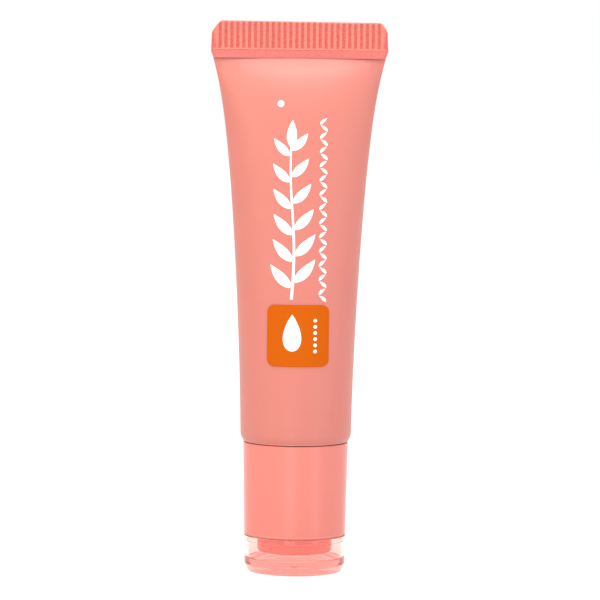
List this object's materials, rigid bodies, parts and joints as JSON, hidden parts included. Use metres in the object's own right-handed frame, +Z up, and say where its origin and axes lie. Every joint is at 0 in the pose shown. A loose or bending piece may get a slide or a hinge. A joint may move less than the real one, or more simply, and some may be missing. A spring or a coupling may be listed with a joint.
{
  "type": "lip gloss tube",
  "caption": "Soft squeeze tube with a flat ribbed end seal, threaded neck and slanted tip, standing on a screw cap with a clear foot.",
  "frame": {"origin": "centre of the cap's foot, on the plane the tube stands on", "axes": "+Z up the tube to the seal, -Y out of the printed front, X along the width of the flat seal"},
  "size_m": [0.0302, 0.019, 0.0939],
  "materials": {
    "clear_foot": "clear, polished, faintly pink",
    "cap_plastic": "glossy coral",
    "seal_plastic": "soft natural white",
    "head_plastic": "satin coral",
    "tip_plastic": "soft pale coral",
    "sleeve_plastic": "satin salmon pink",
    "gloss": "wet, translucent coral",
    "label": "glossy orange"
  },
  "bodies": {
    "cap": {"cap_foot": "clear_foot", "cap_body": "cap_plastic"},
    "gasket": {"cap_gasket": "seal_plastic"},
    "tube": {"tube_head": "head_plastic", "applicator_tip": "tip_plastic", "tube_sleeve": "sleeve_plastic", "gloss_fill": "gloss", "front_label": "label"}
  },
  "joints": [
    {"name": "unscrew_turn", "type": "hinge", "parent": "cap", "child": "gasket", "pos_m": [0, 0, 0.0116], "axis": [0, 0, 1], "range_deg": [0, 3600]},
    {"name": "unscrew_lift", "type": "slide", "parent": "gasket", "child": "tube", "axis": [0, 0, 1], "range_m": [0, 0.0201]}
  ],
  "couplings": [
    {"joint": "unscrew_lift", "follows": "unscrew_turn", "m_per_rad": 0.00031831}
  ]
}
